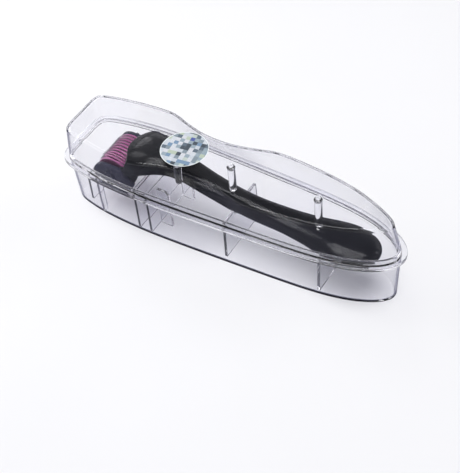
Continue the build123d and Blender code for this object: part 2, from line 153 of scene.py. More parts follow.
def smooth_loop(table, inset):
    """The whole outline as a dense smooth loop, moved inwards by the inset."""
    loop = table + [(x, -y) for x, y in reversed(table[1:-1])]
    count = len(loop)
    dense = []
    for i in range(count):
        around = [loop[(i + k - 1) % count] for k in range(4)]
        for step in range(16):
            dense.append([cubic(step / 16.0, b, c, (c - a) / 2, (d - b) / 2)
                          for a, b, c, d in zip(*around)])
    count = len(dense)
    # light smoothing, so that the wall's reflections don't ripple
    for _ in range(6):
        dense = [[(dense[i - 1][k] + 2 * dense[i][k] + dense[(i + 1) % count][k]) / 4
                  for k in range(2)] for i in range(count)]
    moved = []
    for i, (x, y) in enumerate(dense):
        before, after = dense[i - 2], dense[(i + 2) % count]
        along_x, along_y = after[0] - before[0], after[1] - before[1]
        length = math.hypot(along_x, along_y)
        moved.append((x + along_y / length * inset, y - along_x / length * inset))
    return moved


outlines = {}


def outline(table, inset):
    """The inset outline as N_OUTLINE evenly spaced points."""
    key = (id(table), round(inset, 4))
    if key in outlines:
        return outlines[key]
    loop = smooth_loop(table, inset)
    count = len(loop)
    run = [0.0]
    for i in range(count):
        a, b = loop[i], loop[(i + 1) % count]
        run.append(run[-1] + math.hypot(b[0] - a[0], b[1] - a[1]))
    points, j = [], 0
    for k in range(N_OUTLINE):
        wanted = run[-1] * k / N_OUTLINE
        while run[j + 1] < wanted:
            j += 1
        t = (wanted - run[j]) / (run[j + 1] - run[j])
        a, b = loop[j % count], loop[(j + 1) % count]
        points.append((a[0] + (b[0] - a[0]) * t, a[1] + (b[1] - a[1]) * t))
    outlines[key] = points
    return points


def ring(table, inset, z):
    return [(x, y, z) for x, y in outline(table, inset)]


def slope(first, second, steps):
    """Rings part of the way from the first ring to the second."""
    return [[tuple(a + (b - a) * k for a, b in zip(p, q)) for p, q in zip(first, second)]
            for k in steps]


def circle(cx, cy, radius, z, count=40):
    turns = [2 * math.pi * i / count for i in range(count)]
    return [(cx + radius * math.cos(a), cy + radius * math.sin(a), z) for a in turns]


def table_at(rows, x):
    """Smooth cubic through a table keyed by its first column; gives the other columns."""
    if x <= rows[0][0]:
        return rows[0][1:]
    if x >= rows[-1][0]:
        return rows[-1][1:]
    i = max(k for k in range(len(rows) - 1) if rows[k][0] <= x)
    width = rows[i + 1][0] - rows[i][0]

    def steepness(k, column):
        a, b = rows[max(k - 1, 0)], rows[min(k + 1, len(rows) - 1)]
        return (b[column] - a[column]) / (b[0] - a[0])

    return [cubic((x - rows[i][0]) / width, rows[i][c], rows[i + 1][c],
                  steepness(i, c) * width, steepness(i + 1, c) * width)
            for c in range(1, len(rows[0]))]


def handle_at(x):
    """Top, seam, bottom and half width of the handle at x."""
    if x <= TAIL_START:
        return table_at(HANDLE, x)
    seam = table_at(HANDLE, x)[1]
    top0, seam0, bottom0, half_width0 = table_at(HANDLE, TAIL_START)
    k = (x - TAIL_START) / (TAIL_END - TAIL_START)
    width_left = max(0.0, 1 - k**2.6) ** 0.4545
    height_left = math.sqrt(max(0.0, 1 - k**3))
    return (seam + (top0 - seam0) * height_left, seam,
            seam - (seam0 - bottom0) * height_left, half_width0 * width_left)


def section(x, grow, angle):
    """y and z on the handle's cross-section, grown outwards; angle 0 is the seam at +Y."""
    top, seam, bottom, half_width = handle_at(x)
    c, s = math.cos(angle), math.sin(angle)
    height = (top - seam) if s >= 0 else (seam - bottom)
    # shrinking stops where the section would close up
    half_width = max(half_width + grow, half_width * 0.55)
    height = max(height + grow, height * 0.55)
    return (half_width * math.copysign(abs(c) ** (2 / SUPER_N), c),
            seam + height * math.copysign(abs(s) ** (2 / SUPER_N), s))


# ------------------------------------------------------------------ meshes
class Surface:
    """Vertices in millimetres, and faces. A loop is the range of one ring's vertex numbers."""

    def __init__(self):
        self.verts = []
        self.faces = []

    def add(self, points):
        start = len(self.verts)
        self.verts.extend(points)
        return range(start, len(self.verts))

    def join(self, a, b):
        """Quads between two loops of equal length."""
        for i in range(len(a)):
            j = (i + 1) % len(a)
            self.faces.append((a[i], a[j], b[j], b[i]))

    def stack(self, rings):
        """Adds the rings, each joined to the next; gives the first and last loops."""
        loops = [self.add(points) for points in rings]
        for a, b in zip(loops, loops[1:]):
            self.join(a, b)
        return loops[0], loops[-1]

    def band(self, loop, points):
        """A narrow flat band, which keeps the shading beyond it flat."""
        new = self.add(points)
        self.join(loop, new)
        return new

    def fill(self, *loops):
        """Flat triangulated fill of an outer loop, around any hole loops."""
        corners = [i for loop in loops for i in loop]
        for tri in tessellate_polygon([[Vector(self.verts[i]) for i in loop] for loop in loops]):
            self.faces.append(tuple(corners[k] for k in tri))


def make(name, surface, body, material, sharp_angle=35, replaces=()):
    mesh = bpy.data.meshes.new(name)
    mesh.from_pydata([(x * MM, y * MM, z * MM) for x, y, z in surface.verts], [], surface.faces)
    bm = bmesh.new()
    bm.from_mesh(mesh)
    bmesh.ops.remove_doubles(bm, verts=bm.verts, dist=1e-7)
    bmesh.ops.recalc_face_normals(bm, faces=bm.faces)
    bm.to_mesh(mesh)
    bm.free()
    for face in mesh.polygons:
        face.use_smooth = True
    mesh.set_sharp_from_angle(angle=math.radians(sharp_angle))
    mesh.materials.append(material)
    obj = bpy.data.objects.new(name, mesh)
    scene.collection.objects.link(obj)
    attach(obj, body)
    if replaces:
        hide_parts(*replaces)
    return obj


def weight_normals(obj):
    modifier = obj.modifiers.new("weighted", "WEIGHTED_NORMAL")
    modifier.keep_sharp = True


# ------------------------------------------------------------------ shader helpers
def material_nodes(name):
    mat = bpy.data.materials.new(name)
    mat.use_nodes = True
    return mat, mat.node_tree, mat.node_tree.nodes["Principled BSDF"]


def node(nt, kind, **settings):
    new = nt.nodes.new(kind)
    for key, value in settings.items():
        setattr(new, key, value)
    return new


def feed(nt, socket, value):
    """Links an output into the socket, or sets a plain value on it."""
    if isinstance(value, bpy.types.NodeSocket):
        nt.links.new(value, socket)
    else:
        socket.default_value = value


def math_node(nt, operation, *operands):
    new = node(nt, "ShaderNodeMath", operation=operation)
    for i, value in enumerate(operands):
        feed(nt, new.inputs[i], value)
    return new.outputs[0]


def coordinates(nt, kind="Object"):
    """X, Y and Z outputs of a texture coordinate."""
    texture = node(nt, "ShaderNodeTexCoord")
    split = node(nt, "ShaderNodeSeparateXYZ")
    nt.links.new(texture.outputs[kind], split.inputs[0])
    return split.outputs


def noise(nt, scale, detail, rough=0.5, stretch=(1, 1, 1)):
    texture = node(nt, "ShaderNodeTexCoord")
    mapping = node(nt, "ShaderNodeMapping")
    mapping.inputs["Scale"].default_value = stretch
    nt.links.new(texture.outputs["Object"], mapping.inputs["Vector"])
    new = node(nt, "ShaderNodeTexNoise")
    new.inputs["Scale"].default_value = scale
    new.inputs["Detail"].default_value = detail
    new.inputs["Roughness"].default_value = rough
    nt.links.new(mapping.outputs["Vector"], new.inputs["Vector"])
    return new.outputs["Fac"]


def ranged(nt, source, to, start=(0.3, 0.7)):
    """Maps the source from the start range to another."""
    new = node(nt, "ShaderNodeMapRange")
    for prefix, (low, high) in (("From", start), ("To", to)):
        new.inputs[prefix + " Min"].default_value = low
        new.inputs[prefix + " Max"].default_value = high
    nt.links.new(source, new.inputs["Value"])
    return new.outputs["Result"]


def colour_ramp(nt, source, stops, interpolation="LINEAR"):
    new = node(nt, "ShaderNodeValToRGB")
    new.color_ramp.interpolation = interpolation
    elements = new.color_ramp.elements
    for i, (position, colour) in enumerate(stops):
        element = elements[i] if i < 2 else elements.new(position)
        element.position = position
        element.color = (*colour, 1)
    nt.links.new(source, new.inputs["Fac"])
    return new.outputs["Color"]


def two_tone(nt, source, dark, light):
    return colour_ramp(nt, source, [(0.35, dark), (0.65, light)])


def mix_colours(nt, factor, first, second):
    mix = node(nt, "ShaderNodeMix", data_type="RGBA")
    nt.links.new(factor, mix.inputs["Factor"])
    colours = [i for i in mix.inputs if i.type == "RGBA"]
    feed(nt, colours[0], first)
    feed(nt, colours[1], second)
    return [o for o in mix.outputs if o.type == "RGBA"][0]


def mix_to_surface(nt, factor, first, second):
    mix = node(nt, "ShaderNodeMixShader")
    for socket, source in zip(mix.inputs, (factor, first.outputs[0], second.outputs[0])):
        nt.links.new(source, socket)
    nt.links.new(mix.outputs[0], nt.nodes["Material Output"].inputs["Surface"])


def bump(nt, bsdf, source, depth, strength=1.0):
    """Bump of a depth in millimetres."""
    new = node(nt, "ShaderNodeBump")
    new.inputs["Strength"].default_value = strength
    new.inputs["Distance"].default_value = depth * MM
    nt.links.new(source, new.inputs["Height"])
    nt.links.new(new.outputs["Normal"], bsdf.inputs["Normal"])


# ------------------------------------------------------------------ materials
def plastic(name, dark, light, rough, ripple=0.0, grain=0.0, specular=0.5):
    """Opaque plastic with either a broad ripple or a fine grain, in millimetres."""
    mat, nt, bsdf = material_nodes(name)
    broad = noise(nt, scale=45, detail=3)
    fine = noise(nt, scale=900, detail=4, rough=0.6)
    nt.links.new(two_tone(nt, broad, dark, light), bsdf.inputs["Base Color"])
    nt.links.new(ranged(nt, fine, rough), bsdf.inputs["Roughness"])
    bsdf.inputs["Specular IOR Level"].default_value = specular
    if ripple:
        bump(nt, bsdf, broad, depth=ripple)
    else:
        bump(nt, bsdf, fine, depth=grain)
    return mat


def drum_plastic():
    """Purple plastic, with painted shade: darker down beside the needles, in the grooves between
    the rings' crowns.
    """
    mat, nt, bsdf = material_nodes("purple_plastic")
    x, _, z = coordinates(nt)

    def squared_offset(source, centre):
        return math_node(nt, "POWER", math_node(nt, "SUBTRACT", source, centre), 2.0)

    total = math_node(nt, "ADD", squared_offset(x, AXLE_X * MM), squared_offset(z, AXLE_Z * MM))
    off_axle = math_node(nt, "SQRT", total)
    # painted shade: the colour darkens from the rings' crowns down to the needles, as shade in
    # the grooves
    height = ranged(nt, off_axle, to=(0.0, 1.0), start=(9.30 * MM, 9.68 * MM))
    crown = two_tone(nt, noise(nt, scale=60, detail=3),
                     dark=(0.33, 0.085, 0.225), light=(0.39, 0.105, 0.265))
    painted_groove_shade = (0.085, 0.012, 0.045, 1)
    nt.links.new(mix_colours(nt, height, painted_groove_shade, crown), bsdf.inputs["Base Color"])
    fine = noise(nt, scale=900, detail=4, rough=0.6)
    nt.links.new(ranged(nt, fine, to=(0.30, 0.40)), bsdf.inputs["Roughness"])
    bump(nt, bsdf, fine, depth=0.003)
    return mat


def steel(name, tint, rough, stretch=(1, 1, 1)):
    mat, nt, bsdf = material_nodes(name)
    lines = noise(nt, scale=500, detail=3, rough=0.6, stretch=stretch)
    darker = tuple(c * 0.86 for c in tint)
    nt.links.new(two_tone(nt, lines, darker, tint), bsdf.inputs["Base Color"])
    nt.links.new(ranged(nt, lines, rough), bsdf.inputs["Roughness"])
    bsdf.inputs["Metallic"].default_value = 1.0
    return mat


def clear(name, tint, ior):
    """Clear plastic: glass shading, but shadow and diffuse rays pass straight through."""
    mat, nt, bsdf = material_nodes(name)
    bsdf.inputs["Transmission Weight"].default_value = 1.0
    bsdf.inputs["IOR"].default_value = ior
    broad = noise(nt, scale=30, detail=2)
    fine = noise(nt, scale=400, detail=3)
    lighter = tuple(min(1, c + 0.015) for c in tint)
    nt.links.new(two_tone(nt, broad, tint, lighter), bsdf.inputs["Base Color"])
    nt.links.new(ranged(nt, fine, to=(0.006, 0.03)), bsdf.inputs["Roughness"])
    bump(nt, bsdf, broad, depth=0.03)
    path = node(nt, "ShaderNodeLightPath")
    either = math_node(nt, "MAXIMUM", path.outputs["Is Shadow Ray"],
                       path.outputs["Is Diffuse Ray"])
    through = node(nt, "ShaderNodeBsdfTransparent")
    through.inputs["Color"].default_value = (0.988, 0.988, 0.994, 1)
    mix_to_surface(nt, either, bsdf, through)
    return mat


# Painted glint and shade of the foil's diamonds: where each starts in the random value, colour.
FOIL_GLINT_TINTS = [
    (0.0, (0.61, 0.66, 0.71)), (0.12, (0.08, 0.10, 0.12)), (0.23, (0.34, 0.42, 0.47)),
    (0.35, (0.67, 0.71, 0.75)), (0.45, (0.14, 0.18, 0.22)), (0.56, (0.55, 0.62, 0.57)),
    (0.64, (0.22, 0.33, 0.46)), (0.71, (0.69, 0.71, 0.75)), (0.80, (0.26, 0.32, 0.36)),
    (0.90, (0.51, 0.59, 0.47)), (0.965, (0.10, 0.13, 0.37))]


def foil():
    """Holographic foil: a quilt of small diamonds, each painted its own light or dark tint, as
    painted glint and shade.
    """
    mat, nt, bsdf = material_nodes("hologram_foil")
    x, y, _ = coordinates(nt)
    u = math_node(nt, "MULTIPLY", x, 1 / (DIAMOND * MM))
    v = math_node(nt, "MULTIPLY", y, 1 / (DIAMOND * MM))
    skewed_u = math_node(nt, "ADD", u, math_node(nt, "MULTIPLY", v, SKEW))
    skewed_v = math_node(nt, "SUBTRACT", v, math_node(nt, "MULTIPLY", u, SKEW))
    cell = node(nt, "ShaderNodeCombineXYZ")
    nt.links.new(math_node(nt, "FLOOR", skewed_u, 0.0), cell.inputs[0])
    nt.links.new(math_node(nt, "FLOOR", skewed_v, 0.0), cell.inputs[1])
    white = node(nt, "ShaderNodeTexWhiteNoise", noise_dimensions="3D")
    nt.links.new(cell.outputs[0], white.inputs["Vector"])
    # painted glint and shade: a light or dark tint for each diamond
    tint = colour_ramp(nt, white.outputs["Value"], FOIL_GLINT_TINTS, interpolation="CONSTANT")
    nt.links.new(tint, bsdf.inputs["Base Color"])
    bsdf.inputs["Metallic"].default_value = 0.25
    fine = noise(nt, scale=2500, detail=2)
    nt.links.new(ranged(nt, fine, to=(0.16, 0.30)), bsdf.inputs["Roughness"])
    bump(nt, bsdf, fine, depth=0.01, strength=0.4)
    bsdf.inputs["Coat Weight"].default_value = 0.2
    bsdf.inputs["Coat Roughness"].default_value = 0.08
    return mat


m_black = plastic("gloss_black_abs", dark=(0.0035, 0.004, 0.005), light=(0.0055, 0.006, 0.007),
                  rough=(0.10, 0.16), ripple=0.03, specular=0.2)
m_yoke = plastic("slate_black_abs", dark=(0.016, 0.016, 0.030), light=(0.022, 0.022, 0.040),
                 rough=(0.20, 0.30), grain=0.003, specular=0.2)
# the yoke's own plastic again, painted near-black as shade, for the lugs and the bridge inside
# the handle's top
m_yoke_shade = plastic("yoke_abs_painted_shade", dark=(0.004, 0.0045, 0.005), light=(0.006, 0.0065, 0.007),
                rough=(0.32, 0.42), grain=0.003, specular=0.12)
m_purple = drum_plastic()
m_core = plastic("acetal_white", dark=(0.62, 0.62, 0.60), light=(0.70, 0.70, 0.68),
                 rough=(0.4, 0.5), grain=0.004)
m_needle = steel("etched_steel", tint=(0.36, 0.33, 0.36), rough=(0.3, 0.45))
m_axle = steel("ground_steel", tint=(0.60, 0.60, 0.61), rough=(0.18, 0.3), stretch=(6, 0.3, 6))
m_clear = clear("clear_polystyrene", tint=(0.976, 0.976, 0.998), ior=1.34)
m_foil = foil()
# the label's back: painted shade, dark grey, so that the handle below mirrors it dark
m_foil_back_shade = plastic("label_back_painted_shade", dark=(0.10, 0.10, 0.11), light=(0.14, 0.14, 0.15),
                      rough=(0.5, 0.6), grain=0.002)
m_foil_edge = plastic("label_edge", dark=(0.70, 0.75, 0.75), light=(0.80, 0.85, 0.85),
                      rough=(0.3, 0.4), grain=0.002)


# ------------------------------------------------------------------ case lid
def flange_lip(z_low, z_top):
    """The flange's rounded edge, from its underside to its top."""
    half = FLANGE_T / 2
    return ([ring(FLANGE, LIP, z_low)]
            + [ring(FLANGE, LIP * (1 - math.sin(a)), z_low + half - half * math.cos(a))
               for a in HALF_ROUND]
            + [ring(FLANGE, LIP, z_top)])


def lid():
    wall_foot = LID_FLANGE_TOP + 1.2
    edge = LID_TOP - 2.0                # where the roof's rounded edge starts, outside
    edge_in = edge - 0.6                # and inside
    ceiling = edge_in + 1.4
    round_out, round_in = 1.9, 1.3      # how far the rounded edges reach inwards
    band_w = 0.35
    inset_in = FLANGE_W + WALL
    fillet, chamfer = 0.35, 0.25
    # inside, from the ceiling's edge down to the flange's underside
    rings = [ring(ROOF, WALL + round_in * (1 - math.cos(a)), edge_in + 1.4 * math.sin(a))
             for a in reversed(quarter(6))]
    rings += slope(ring(FLANGE, inset_in, wall_foot), ring(ROOF, WALL, edge_in),
                   (0.94, 0.8, 0.6, 0.4, 0.2, 0.06))
    rings.append(ring(FLANGE, inset_in, wall_foot))
    rings.append(ring(FLANGE, inset_in, LID_FLANGE_LOW + chamfer))
    rings.append(ring(FLANGE, inset_in - chamfer, LID_FLANGE_LOW))
    rings += flange_lip(LID_FLANGE_LOW, LID_FLANGE_TOP)
    # fillet from the flange up the wall, then the wall and the roof's rounded edge
    rings += [ring(FLANGE, FLANGE_W - fillet * (1 - math.sin(a)),
                   LID_FLANGE_TOP + fillet * (1 - math.cos(a))) for a in quarter(5)[1:]]
    rings.append(ring(FLANGE, FLANGE_W, wall_foot))
    rings += slope(ring(FLANGE, FLANGE_W, wall_foot), ring(ROOF, 0.0, edge),
                   (0.06, 0.2, 0.4, 0.6, 0.8, 0.94, 1.0))
    rings += [ring(ROOF, round_out * (1 - math.cos(a)), edge + 2.0 * math.sin(a))
              for a in quarter(8)[1:]]
    surface = Surface()
    first, last = surface.stack(rings)
    under_loops = [surface.band(first, ring(ROOF, WALL + round_in + band_w, ceiling))]
    top_loops = [surface.band(last, ring(ROOF, round_out + band_w, LID_TOP))]

    def turned(x, y, profile):
        """A closed-ended turned shape from radius and z pairs; gives its open loop."""
        start, end = surface.stack([circle(x, y, radius, z) for radius, z in profile])
        surface.fill(end)
        return start

    for x, y, tip in PEGS:
        # the peg, with a small fillet at its root and a rounded end
        peg = [(2.6, ceiling), (2.25, ceiling - 0.12), (2.05, ceiling - 0.5),
               (2.0, ceiling - 1.2), (1.97, (ceiling + tip) / 2), (1.93, tip + 1.3)]
        peg += [(1.93 - 1.25 * (1 - math.cos(a)), tip + 1.25 * (1 - math.sin(a)))
                for a in (0.25, 0.5, 0.75, 1.0, 1.25, 1.5)]
        peg.append((0.35, tip + 0.001))
        under_loops.append(turned(x, y, peg))
        # the sink in the roof over the peg
        sink = [(1.35, 0), (1.25, 0.1), (1.15, 0.5), (1.05, 2.6), (0.8, 3.1), (0.3, 3.25)]
        top_loops.append(turned(x, y, [(radius, LID_TOP - depth) for radius, depth in sink]))
    surface.fill(*under_loops)
    surface.fill(*top_loops)
    weight_normals(make("clear_lid", surface, "lid", m_clear,
                        replaces=["case_lid"]))


lid()


# ------------------------------------------------------------------ case tray
def tray():
    low, top = TRAY_FLANGE_LOW, TRAY_FLANGE_TOP
    foot_out = FLANGE_W + 1.4           # the wall leans in towards the foot
    foot_in = foot_out + WALL
    foot_radius, floor_radius = 2.0, 1.6
    fillet, band_w = 0.5, 0.5
    rim_t, rim_round = 1.0, 0.35
    rim_out = FLANGE_W + WALL + 0.12
    rim_in = rim_out + rim_t
    steps = (0.06, 0.25, 0.5, 0.75, 0.94)
    # outside, from the rounded foot up the wall and out to the flange
    rings = [ring(FLANGE, foot_out + foot_radius * (1 - math.sin(a)),
                  foot_radius * (1 - math.cos(a))) for a in quarter(6)]
    rings += slope(ring(FLANGE, foot_out, foot_radius), ring(FLANGE, FLANGE_W, low), steps)
    rings += [ring(FLANGE, FLANGE_W - fillet * (1 - math.cos(a)),
                   low - fillet * (1 - math.sin(a))) for a in quarter(4)]
    rings += flange_lip(low, top)
    # the rim standing up inside the flange
    rings.append(ring(FLANGE, rim_out - 0.02, top))
    rings.append(ring(FLANGE, rim_out, top + 0.05))
    rings.append(ring(FLANGE, rim_out, RIM_TOP - rim_round))
    rings += [ring(FLANGE, (rim_out + rim_in) / 2 - rim_t / 2 * math.cos(a),
                   RIM_TOP - rim_round + rim_round * math.sin(a)) for a in HALF_ROUND]
    rings.append(ring(FLANGE, rim_in, RIM_TOP - rim_round))
    rings.append(ring(FLANGE, rim_in, low + 0.2))
    # inside, down the wall to the floor
    wall_top = ring(FLANGE, FLANGE_W + WALL, low - 0.5)
    rings.append(wall_top)
    rings += slope(wall_top, ring(FLANGE, foot_in, FLOOR_T + floor_radius), steps)
    rings += [ring(FLANGE, foot_in + floor_radius * (1 - math.cos(a)),
                   FLOOR_T + floor_radius * (1 - math.sin(a))) for a in quarter(5)]
    surface = Surface()
    first, last = surface.stack(rings)
    for loop, inset, z in ((first, foot_out + foot_radius + band_w, 0.0),
                           (last, foot_in + floor_radius + band_w, FLOOR_T)):
        surface.fill(surface.band(loop, ring(FLANGE, inset, z)))
    weight_normals(make("clear_tray", surface, "case", m_clear,
                        replaces=["case_tray"]))


tray()


# ------------------------------------------------------------------ webs in the tray
WEB_FOOT = FLOOR_T + 0.005


def web(name, low_side, high_side):
    """A flat clear web between two like polygons, with softened edges."""
    surface = Surface()
    low, high = surface.add(low_side), surface.add(high_side)
    surface.fill(low)
    surface.fill(high)
    surface.join(low, high)
    obj = make(name, surface, "case", m_clear)
    bevel = obj.modifiers.new("edge", "BEVEL")
    bevel.width = 0.25 * MM
    bevel.segments = 2
    bevel.limit_method = "ANGLE"
    bevel.angle_limit = math.radians(50)
    weight_normals(obj)


def web_across(name, x, points, thick):
    """A web square to X, from y and z points."""
    web(name, *([(side, y, z) for y, z in points] for side in (x - thick / 2, x + thick / 2)))


def web_along(name, points, y_low, y_high):
    """A web square to Y, from x and z points."""
    web(name, *([(x, side, z) for x, z in points] for side in (y_low, y_high)))


def saddle(name, x, half_w, top):
    """A web with a scoop in its top that clears the underside of the handle."""
    clearance = 0.45
    around = [section(x, clearance, math.pi + math.pi * i / 40) for i in range(41)]
    scoop = [(y, z) for y, z in around if z < top - 0.02]
    scoop = [(scoop[0][0] - 0.05, top)] + scoop + [(scoop[-1][0] + 0.05, top)]
    web_across(name, x, [(-half_w, WEB_FOOT), (half_w, WEB_FOOT), (half_w - 0.8, top)]
               + scoop[::-1] + [(-half_w + 0.8, top)], thick=1.6)


saddle("saddle_neck", x=4.0, half_w=16.5, top=26.2)
saddle("saddle_tail", x=58.0, half_w=14.5, top=22.6)
BENCH = [       # x, z: a bench with a leg at each end
    (-49.6, WEB_FOOT), (-48.2, WEB_FOOT), (-48.2, 28.4), (-47.5, 29.1), (-42.7, 29.1),
    (-42.0, 28.4), (-42.0, WEB_FOOT), (-40.6, WEB_FOOT), (-40.6, 29.7), (-41.4, 30.5),
    (-48.8, 30.5), (-49.6, 29.7)]
CHEEK = [       # x, z: a plate with its +X top corner cut off
    (-40.5, WEB_FOOT), (-33.0, WEB_FOOT), (-33.0, 25.0), (-35.0, 27.0), (-40.5, 27.0)]
DRUM_GUARD = [  # y, z: a plate with both top corners cut off
    (-14, WEB_FOOT), (14, WEB_FOOT), (14, 17.5), (11.5, 20.0), (-11.5, 20.0), (-14, 17.5)]
SIDES = ((-1, "near"), (1, "far"))
web_along("bench", BENCH, -20.0, 20.0)
for side, label in SIDES:
    y_low, y_high = side * 18.0 - 1.6, side * 18.0 + 1.6
    web_across("guide_" + label, -73.3,
               [(y_low, WEB_FOOT), (y_high, WEB_FOOT), (y_high, 27.0), (y_low, 27.0)], thick=1.4)
    web_along("cheek_" + label, CHEEK, side * 11.0 - 0.8, side * 11.0 + 0.8)
web_across("drum_guard", -84.7, DRUM_GUARD, thick=1.4)


# ------------------------------------------------------------------ label
def foil_label():
    """Round foil: every diamond of the quilt is a shallow pyramid of its own."""
    cx, cy = (seal_lo.x + seal_hi.x) / 2, (seal_lo.y + seal_hi.y) / 2
    radius = (seal_hi.x - seal_lo.x) / 2
    z_back, z_face = seal_lo.z + 0.01, seal_hi.z
    around, inwards = 160, 60
    face_radius = radius - 0.12

    def height(x, y, edge):
        """z of the face; edge fades the quilt out towards the rim."""
        u = x / DIAMOND + SKEW * y / DIAMOND
        v = y / DIAMOND - SKEW * x / DIAMOND
        cell_u, cell_v = math.floor(u), math.floor(v)
        in_u, in_v = u - cell_u, v - cell_v
        peak = (1 - abs(2 * in_u - 1)) * (1 - abs(2 * in_v - 1))
        # a scrambled value from -0.5 to 0.5, different for each diamond
        tilt = (math.sin(cell_u * 12.9898 + cell_v * 78.233) * 43758.5453) % 1.0 - 0.5
        raised = 0.05 * peak + 0.03 * tilt * (in_u - 0.5) + 0.03 * tilt * (in_v - 0.5)
        return z_face - 0.05 + raised * edge

    rings = [circle(cx, cy, radius, z, around) for z in (z_back, z_face - 0.07)]
    for k in range(inwards):
        ring_radius = face_radius * (1 - k / inwards)
        edge = min(1.0, (face_radius - ring_radius) / 0.6)
        rings.append([(x, y, height(x, y, edge))
                      for x, y, _ in circle(cx, cy, ring_radius, 0, around)])
    surface = Surface()
    for loop in surface.stack(rings):
        surface.fill(loop)
    obj = make("foil_label", surface, "lid", m_foil, sharp_angle=30,
               replaces=["lid_seal_label"])
    obj.data.materials.append(m_foil_edge)
    obj.data.materials.append(m_foil_back_shade)
    for face in obj.data.polygons:
        centre = face.center / MM
        if abs(centre.z - z_back) < 0.004:
            face.material_index = 2
        elif math.hypot(centre.x - cx, centre.y - cy) > radius - 0.3:
            face.material_index = 1


foil_label()


# ------------------------------------------------------------------ handle
def stations(x_start, x_end):
    """x of the rings: close at the rounded -X rim and band, even along, closer at the tail."""
    xs = [x_start + d
          for d in (0, 0.06, 0.2, 0.42, 0.7, 1.0, 1.8, 2.8, 3.7, 3.95, 4.15, 4.3, 4.5)]
    x = x_start + 5.3
    while x < TAIL_START + 6:
        xs.append(x)
        x += 1.25
    last = xs[-1]
    return xs + [last + (x_end - last) * math.sin(a) for a in quarter(26)[1:]]


def handle_shell(name, upper, x_start, replaces):
    """One half of the handle's hollow shell, above or below the seam."""
    steps = 56
    seam_gap = 0.05
    rim_radius = 0.75
    # closer together near the seam
    angles = [math.pi * (0.5 - 0.5 * math.cos(math.pi * i / steps)) for i in range(steps + 1)]

    def skin_point(x, angle, grow, band):
        seam = handle_at(x)[1]
        if not upper:
            y, z = section(x, grow, math.pi + angle)
            return x, y, min(z, seam - seam_gap)
        # the bowed edge stands back, less and less along the skin
        y, _ = section(x, grow, angle)
        back = table_at(BOW, abs(y))[0] * max(0.0, 1 - (x - x_start) / BOW_FADE)
        y, z = section(x + back, grow + band, angle)
        return x + back, y, max(z, seam + seam_gap)

    rings = []
    for x in stations(x_start, TAIL_END - 0.01):
        along = x - x_start
        # the rim at the -X end is rounded over
        short = 1 - min(1, along / rim_radius)
        soft = rim_radius * (1 - math.sqrt(1 - short ** 2))
        # a band behind the rim is a little prouder than the rest of the upper skin
        band = 0.22 * min(1.0, max(0.0, (4.3 - along) / 0.35))
        outer = [skin_point(x, a, -soft, band) for a in angles]
        inner = [skin_point(x, a, soft - SHELL_T, 0.0) for a in angles]
        rings.append(outer + inner[::-1])
    surface = Surface()
    for loop in surface.stack(rings):
        for i in range(steps):
            surface.faces.append((loop[i], loop[i + 1], loop[-2 - i], loop[-1 - i]))
    make(name, surface, "roller", m_black, sharp_angle=38, replaces=replaces)


handle_shell("handle_top", True, HOOD_X, ["handle_upper_shell"])
handle_shell("handle_belly", False, -50.0, ["handle_lower_shell"])


# ------------------------------------------------------------------ yoke
def rounded_plate(name, outline_xz, y_low, y_high, radius, material):
    """A flat plate with rounded edges; the outline runs counter-clockwise seen from -Y."""
    points = [Vector(p) for p in outline_xz]
    normals = []
    for i in range(len(points)):
        along = (points[(i + 1) % len(points)] - points[i - 1]).normalized()
        normals.append(Vector((along.y, -along.x)))

    def inset_ring(inset, y):
        return [(p.x - n.x * inset, y, p.y - n.y * inset) for p, n in zip(points, normals)]

    rings = [inset_ring(radius * (1 - math.sin(a)), y_low + radius * (1 - math.cos(a)))
             for a in quarter(6)]
    rings += [inset_ring(radius * (1 - math.cos(a)), y_high - radius * (1 - math.sin(a)))
              for a in quarter(6)]
    surface = Surface()
    for loop, y in zip(surface.stack(rings), (y_low, y_high)):
        surface.fill(surface.band(loop, inset_ring(radius + 0.3, y)))
    weight_normals(make(name, surface, "roller", material, replaces=["head_yoke"]))


def rounded_run(line, times):
    """Corners of an open run of points cut again and again, so that they round over."""
    for _ in range(times):
        cut = [line[0]]
        for p, q in zip(line, line[1:]):
            cut.append((p[0] * 0.75 + q[0] * 0.25, p[1] * 0.75 + q[1] * 0.25))
            cut.append((p[0] * 0.25 + q[0] * 0.75, p[1] * 0.25 + q[1] * 0.75))
        line = cut + [line[-1]]
    return line


def arm_outline():
    """x and z of a yoke arm: a half circle at the -X end, then a rounded run back to it."""
    cx, cz, radius = -71.6, 25.0, 8.2
    turns = [math.radians(90 + 180 * i / 60) for i in range(61)]
    arc = [(cx + radius * math.cos(a), cz + radius * math.sin(a)) for a in turns]
    rest = [(-64.0, 16.8), (-58.2, 17.0), (-56.6, 20.2), (-53.4, 25.6), (-58.0, 29.9),
            (-61.8, 33.1), (-65.0, 33.2)]
    return arc + rounded_run([arc[-1]] + rest + [arc[0]], times=3)[1:-1]


LUG = [         # x, z of the lug between an arm and the handle, before rounding
    (-61.4, 31.0), (-57.0, 23.4), (-54.4, 25.0), (-50.4, 33.4), (-50.3, 36.8),
    (-54.0, 36.4), (-58.0, 35.3), (-61.3, 34.5)]
arm_points = arm_outline()
lug_points = rounded_run(LUG, times=2)
for side, label in SIDES:
    y_low, y_high = sorted((side * ARM_IN, side * ARM_OUT))
    rounded_plate("yoke_arm_" + label, arm_points, y_low, y_high, radius=0.8, material=m_yoke)
    # the lugs: the yoke's plastic painted dark, as painted shade under the handle's top
    y_low, y_high = sorted((side * (ARM_IN + 0.05), side * 12.8))
    rounded_plate("yoke_lug_" + label, lug_points, y_low, y_high, radius=0.3, material=m_yoke_shade)


